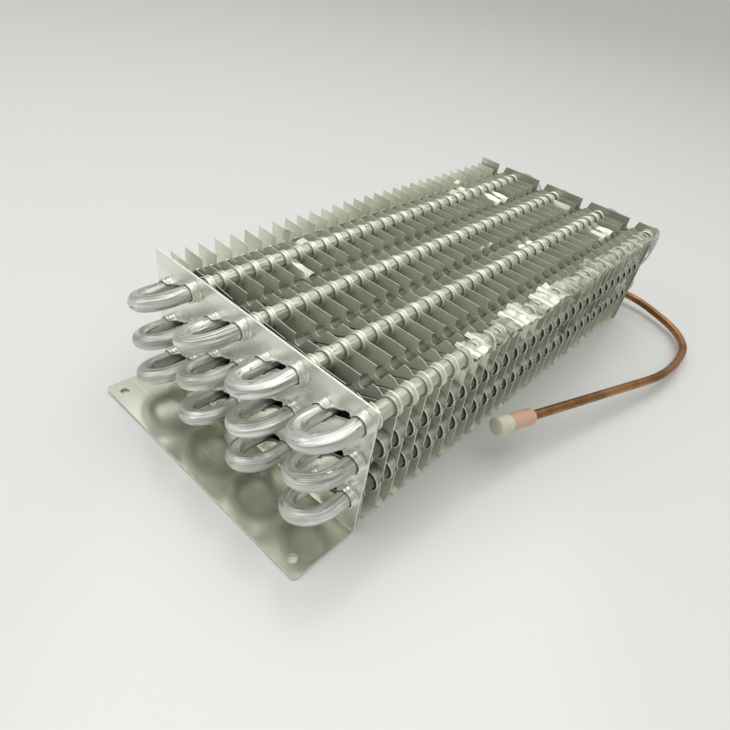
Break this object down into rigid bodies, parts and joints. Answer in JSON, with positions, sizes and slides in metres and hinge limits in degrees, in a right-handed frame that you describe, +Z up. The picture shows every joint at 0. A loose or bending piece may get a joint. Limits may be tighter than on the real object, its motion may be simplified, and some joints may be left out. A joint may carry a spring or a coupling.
{
  "type": "fin and tube evaporator",
  "caption": "Flat fin-and-tube evaporator: one aluminium tube bent to and fro through a pack of upright fins between two end plates, with a screw foot and a curved copper pipe.",
  "frame": {"origin": "midway between the two screw holes of the foot, on its underside", "axes": "+X along the tube's legs, from the foot to the far end; +Y across the pack, away from the copper pipe; +Z up"},
  "size_m": [0.3664, 0.2113, 0.075],
  "materials": {
    "plate": "satin",
    "tube": "satin",
    "fin": "satin",
    "copper": "satin copper",
    "sleeve": "satin",
    "cap": "soft and cloudy"
  },
  "bodies": {
    "root": {"near_end_plate": "plate", "far_end_plate": "plate", "tube_coil": "tube", "outlet_pipe": "copper", "joint_sleeve": "sleeve", "outlet_cap": "cap", "inlet_cap": "cap", "fin_01": "fin", "fin_02": "fin", "fin_03": "fin", "fin_04": "fin", "fin_05": "fin", "fin_06": "fin", "fin_07": "fin", "fin_08": "fin", "fin_09": "fin", "fin_10": "fin", "fin_11": "fin", "fin_12": "fin", "fin_13": "fin", "fin_14": "fin", "fin_15": "fin", "fin_16": "fin", "fin_17": "fin", "fin_18": "fin", "fin_19": "fin", "fin_20": "fin", "fin_21": "fin", "fin_22": "fin", "fin_23": "fin", "fin_24": "fin", "fin_25": "fin", "fin_26": "fin", "fin_27": "fin", "fin_28": "fin", "fin_29": "fin", "fin_30": "fin"}
  },
  "joints": []
}
